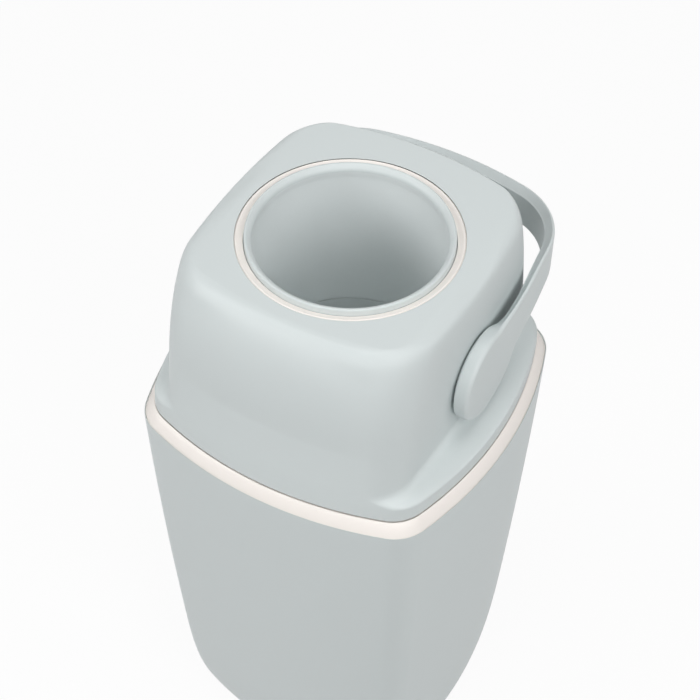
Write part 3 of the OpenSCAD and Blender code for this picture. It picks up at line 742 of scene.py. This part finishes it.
# Chute: a smooth round tube through the drum, its ends thinned to fit inside the lips.
TUBE_R = 74.0
TUBE_WALL = 2.5
LIP_LOW = MOUTH_UP - 9.0
TUBE_TIP = [
    # distance out from the bore, height over the foot of the lip
    (TUBE_WALL, 0.0), (1.2, 0.0), (0.25, 6.25), (-0.6, 6.25), (-0.55, 4.0), (-0.3, 2.0), (0.0, 0.0)]
tube_end = [(TUBE_R + out, LIP_LOW + rise) for out, rise in TUBE_TIP]
tube_shape = bmesh.new()
lathe(tube_shape, tube_end + [(radius, -height) for radius, height in reversed(tube_end)], 1)
# The tube is the grey plastic painted paler: painted light that brightens the inside of the bore, which lies
# in shade.
chute_painted_light = moulded("chute_painted_light", (0.806, 0.846, 0.846), (0.782, 0.822, 0.822), 0.42, 0.0009, 0.00002)
finished("chute_sleeve", tube_shape, "drum", chute_painted_light, ["chute_tube"])

# Lips: grey rings that close over both ends of the tube, stand out of the drum's dished face and
# slope inwards to the bore like a funnel.
SEAT_W = 3.2
SEAT_R = LIP_R + SEAT_W
SEAT_T = 1.9
LIP_GAP = 0.05
LIP_SLOPE = [
    # radius, height over the axis
    (LIP_R, 88.4), (79.1, 89.3), (78.6, 89.9), (77.8, 90.1), (76.9, 89.8), (75.9, 89.1), (75.0, 88.2),
    (74.2, 87.2), (73.7, 86.1), (73.45, 85.0), (73.4, 84.3)]
lip_profile = [(tube_end[2][0] + LIP_GAP, tube_end[2][1] + LIP_GAP), (tube_end[1][0] + LIP_GAP, LIP_LOW)]
lip_profile += [(SEAT_R, LIP_LOW), (SEAT_R, LIP_LOW + SEAT_T), (LIP_R, LIP_LOW + SEAT_T)] + LIP_SLOPE
for name, up in (("upper", 1), ("lower", -1)):
    lip_shape = bmesh.new()
    lathe(lip_shape, lip_profile, up)
    finished("chute_lip_" + name, lip_shape, "drum", grey_plastic, ["mouth_ring_" + name])

# Piston: a dished cup that slides down the tube and pushes the nappy out. A steel weight and a cover
# close its underside, and a soft wiper sits in the groove round it. It is painted darker than the tube:
# painted shade, so that its rim matches the shade deep in the bore.
PISTON_GAP = 0.3
PISTON_H = 22.0
PISTON_R = TUBE_R - PISTON_GAP
PISTON_LOW = PISTON_GAP - LIP_LOW
PISTON_TOP = PISTON_LOW + PISTON_H
DISH_DEEP = 11.7
DISH_SHAPE = [
    # distance in from the rim, drop below the top
    (0.0, 0.8), (0.25, 0.2), (0.7, 0.0), (1.2, 0.5), (3.4, 8.3), (4.7, 9.9), (7.2, 10.9), (11.7, 11.3)]
COVER_T = 2.5
WEIGHT_T = 6.0
WEIGHT_R = 0.72 * PISTON_R
WIPER_T = 2.4
WIPER_DEEP = 2.0
groove_z = PISTON_TOP - 3 * WIPER_T
piston_profile = [
    (0.0, PISTON_LOW + COVER_T + WEIGHT_T), (WEIGHT_R, PISTON_LOW + COVER_T + WEIGHT_T),
    (WEIGHT_R, PISTON_LOW + COVER_T), (PISTON_R, PISTON_LOW + COVER_T), (PISTON_R, groove_z),
    (PISTON_R - WIPER_DEEP, groove_z), (PISTON_R - WIPER_DEEP, groove_z + WIPER_T),
    (PISTON_R, groove_z + WIPER_T)]
piston_profile += [(PISTON_R - inset, PISTON_TOP - drop) for inset, drop in DISH_SHAPE]
piston_profile += [(0.0, PISTON_TOP - DISH_DEEP)]


def drop_bare_edges(shape):
    """Deletes the edges without a face that turning a point on the axis leaves."""
    bmesh.ops.delete(shape, geom=[e for e in shape.edges if not e.link_faces], context="EDGES")


piston_shape = bmesh.new()
lathe(piston_shape, piston_profile, 1)
drop_bare_edges(piston_shape)
# The piston's plastic is painted darker than the grey: painted shade matching the dark bottom of the bore.
piston_painted_shade = moulded("piston_painted_shade", (0.560, 0.600, 0.600), (0.530, 0.570, 0.570), 0.5, 0.0009, 0.00003)
finished("piston_dish", piston_shape, "piston", piston_painted_shade, ["piston_cup"])
repaint(["piston_cover"], piston_painted_shade)

# Handle: a strap that widens into a round disc at both ends, one moulding, keyed to the stub shafts.
# It is drawn flat, as loops round its outline, and then bent along its path.
DISC_R = 37.4
DISC_T = 11.7
DISC_GAP = 2.2
DISC_FOOT = SIDE_HALF + DISC_GAP
DISC_FACE = DISC_FOOT + DISC_T
DISC_ROUND = 3.6
DISC_END = math.radians(275)
DISC_STEPS = 72
DISC_RUNGS = 14
NECK_R = 33.0
NECK_GAP = 0.6
NECK_DEEP = 2.0
NECK_STEPS = 96
STRAP_ROUND_HIGH = 2.0
STRAP_ROUND_LOW = 2.2
ROUND_OVER = 48.0
ROUND_STEPS = 5
INNER_EDGE = 1.2
STRAP_ROW_STEPS = 5
TAIL_STEPS = 42
FLARE_TOP_STEPS = 3
FLARE_LOW_STEPS = 4
HANDLE_REACH = BELLY_HALF + 46.2
HANDLE_CORNER = 62.5
ARM_BULGE = 6.0
BAR_BULGE = 6.05
STRAP_SHAPE = [
    # way along the strap, lower and upper edge over the axis, drop of the inner edge, thickness
    (50.5, -11.2, 35.5, 9.5, 8.0), (56.0, -9.6, 35.5, 9.5, 8.0), (66.0, -8.2, 36.0, 9.4, 8.0),
    (80.0, -6.0, 37.6, 7.6, 8.0), (95.0, -3.2, 38.8, 5.8, 8.0), (110.0, -0.2, 39.1, 4.9, 8.0),
    (130.0, 3.0, 39.2, 4.6, 8.0), (150.0, 4.7, 39.2, 4.6, 8.0), (160.0, 5.0, 39.2, 4.6, 8.0)]
FLARE_TOP = [
    # way along, height over the axis, drop of the inner edge, thickness
    (8.0, 36.54, 0.0, DISC_T), (14.0, 35.8, 1.0, 11.6), (20.0, 35.5, 3.6, 11.2), (25.0, 35.5, 6.2, 10.5),
    (30.0, 35.5, 8.1, 9.6), (38.0, 35.5, 9.2, 8.5), (43.0, 35.5, 9.4, 8.1)]
FLARE_LOW = [
    # way along, height over the axis, thickness
    (12.5, -35.9, DISC_T), (23.5, -33.2, 11.5), (32.0, -29.0, 10.8), (38.8, -23.8, 9.8), (43.3, -18.0, 8.7),
    (46.5, -13.9, 8.2)]

arm_radius = arc_radius(HANDLE_REACH - BAR_BULGE - HANDLE_CORNER, ARM_BULGE)
bar_radius = arc_radius(DISC_FACE - ARM_BULGE - HANDLE_CORNER, BAR_BULGE)
arm_turn = math.asin((HANDLE_REACH - BAR_BULGE - HANDLE_CORNER) / arm_radius)
bar_turn = math.asin((DISC_FACE - ARM_BULGE - HANDLE_CORNER) / bar_radius)
arm_end = (arm_radius + HANDLE_CORNER) * arm_turn
corner_end = arm_end + HANDLE_CORNER * (math.pi / 2 - arm_turn - bar_turn)
strap_end = corner_end + (bar_radius + HANDLE_CORNER) * bar_turn


def on_handle(along, rise, depth, side):
    """A place on the handle: way along its outer face, height over the axis, depth under the face."""
    if along < 0:
        x, y = DISC_FACE - depth, along
    elif along < arm_end:
        reach = arm_radius + HANDLE_CORNER
        angle = along / reach
        x = DISC_FACE - reach + (reach - depth) * math.cos(angle)
        y = (reach - depth) * math.sin(angle)
    elif along < corner_end:
        angle = arm_turn + (along - arm_end) / HANDLE_CORNER
        x = DISC_FACE - ARM_BULGE - HANDLE_CORNER + (HANDLE_CORNER - depth) * math.cos(angle)
        y = HANDLE_REACH - BAR_BULGE - HANDLE_CORNER + (HANDLE_CORNER - depth) * math.sin(angle)
    else:
        reach = bar_radius + HANDLE_CORNER
        angle = (strap_end - along) / reach
        x = (reach - depth) * math.sin(angle)
        y = HANDLE_REACH - reach + (reach - depth) * math.cos(angle)
    return Vector((side * x, y, AXIS_Z + rise)) * MM


def edge_round(along, on_strap):
    """The rounding of the outer edge, which changes from the disc's to the strap's."""
    return blended(DISC_ROUND, on_strap, min(1.0, max(0.0, along) / ROUND_OVER))


strap_rows = smooth_rows(STRAP_SHAPE, STRAP_ROW_STEPS)
for step in range(1, TAIL_STEPS + 1):
    tail_way = blended(STRAP_SHAPE[-1][0], strap_end, step / TAIL_STEPS)
    strap_rows.append((tail_way,) + STRAP_SHAPE[-1][1:])
first_way, first_low, first_high, first_drop, first_thick = STRAP_SHAPE[0]
top_end = (first_way, first_high, first_drop, first_thick)
flare_top = smooth_rows(FLARE_TOP + [top_end], FLARE_TOP_STEPS)[:-1]
disc_start = math.atan2(FLARE_TOP[0][1], FLARE_TOP[0][0])
disc_last = (DISC_R * math.cos(DISC_END), DISC_R * math.sin(DISC_END), DISC_T)
low_end = (first_way, first_low, first_thick)
flare_low = smooth_rows([disc_last] + FLARE_LOW + [low_end], FLARE_LOW_STEPS)[:-1]
# Each point of the outline: way along, height, drop of the inner edge, thickness, rounding.
way_round = [(a, high, drop, thick, STRAP_ROUND_HIGH) for a, low, high, drop, thick in reversed(strap_rows)]
for a, high, drop, thick in reversed(flare_top):
    way_round.append((a, high, drop, thick, edge_round(a, STRAP_ROUND_HIGH)))
for step in range(1, DISC_STEPS):
    angle = blended(disc_start, DISC_END, step / DISC_STEPS)
    way_round.append((DISC_R * math.cos(angle), DISC_R * math.sin(angle), 0.0, DISC_T, DISC_ROUND))
for a, low, thick in flare_low:
    way_round.append((a, low, 0.0, thick, edge_round(a, STRAP_ROUND_LOW)))
way_round += [(a, low, 0.0, thick, STRAP_ROUND_LOW) for a, low, high, drop, thick in strap_rows]
# Each point again, with the way and the rise of the outline's outward normal.
rim_way = []
for index, point in enumerate(way_round):
    before = way_round[max(index - 1, 0)]
    after = way_round[min(index + 1, len(way_round) - 1)]
    run, climb = after[0] - before[0], after[1] - before[1]
    length = math.hypot(run, climb)
    rim_way.append(point + (climb / length, -run / length))


def handle_loop(depth_of, inset_of):
    """One flat loop round the whole handle: way from the middle of the bar, depth, height."""
    half_loop = []
    for a, rise, drop, thick, rounding, out_a, out_rise in rim_way:
        inset = inset_of(drop, rounding)
        middle_way = strap_end - (a - out_a * inset)
        half_loop.append(Vector((middle_way, depth_of(thick, rounding), rise - out_rise * inset)))
    return half_loop + [Vector((-p.x, p.y, p.z)) for p in reversed(half_loop[1:-1])]


handle_loops = []
for step in range(ROUND_STEPS + 1):
    turn = math.pi / 2 * step / ROUND_STEPS
    handle_loops.append(handle_loop(
        lambda thick, r: r * (1 - math.cos(turn)), lambda drop, r: r * (1 - math.sin(turn))))
for step in range(ROUND_STEPS):
    turn = math.pi / 2 * step / (ROUND_STEPS - 1)
    handle_loops.append(handle_loop(
        lambda thick, r: thick - INNER_EDGE * (1 - math.sin(turn)),
        lambda drop, r: drop + INNER_EDGE * (1 - math.cos(turn))))
handle_shape = bmesh.new()
handle_edges = wrap(handle_shape, handle_loops)
half_count = len(rim_way)
# Both flat sides are closed and crossed by rungs from edge to edge, so that they bend without folds.
for loop, places in ((handle_edges[0], handle_loops[0]), (handle_edges[-1], handle_loops[-1])):
    drawn = {tuple(vert.co): vert for edge in loop for vert in edge.verts}
    ring = [drawn[tuple(place)] for place in places]
    close_end(handle_shape, loop)
    for rung in range(len(strap_rows) + DISC_RUNGS):
        bmesh.ops.connect_verts(handle_shape, verts=[ring[rung], ring[half_count - 1 - rung]])
        if rung:
            across = [ring[2 * half_count - 2 - rung], ring[half_count + rung - 1]]
            bmesh.ops.connect_verts(handle_shape, verts=across)
for vert in handle_shape.verts:
    middle_way, depth, rise = vert.co
    vert.co = on_handle(strap_end - abs(middle_way), rise, depth, math.copysign(1, middle_way))
for side in (-1, 1):
    near, far = side * (SIDE_HALF + NECK_GAP), side * (DISC_FOOT + NECK_DEEP)
    sleeve_x(handle_shape, 0.0, AXIS_Z, near, far, 0.0, NECK_R, NECK_STEPS)
bmesh.ops.remove_doubles(handle_shape, verts=handle_shape.verts, dist=WELD)
drop_bare_edges(handle_shape)
finished("carry_handle", handle_shape, "drum", grey_plastic, ["handle_bail"])
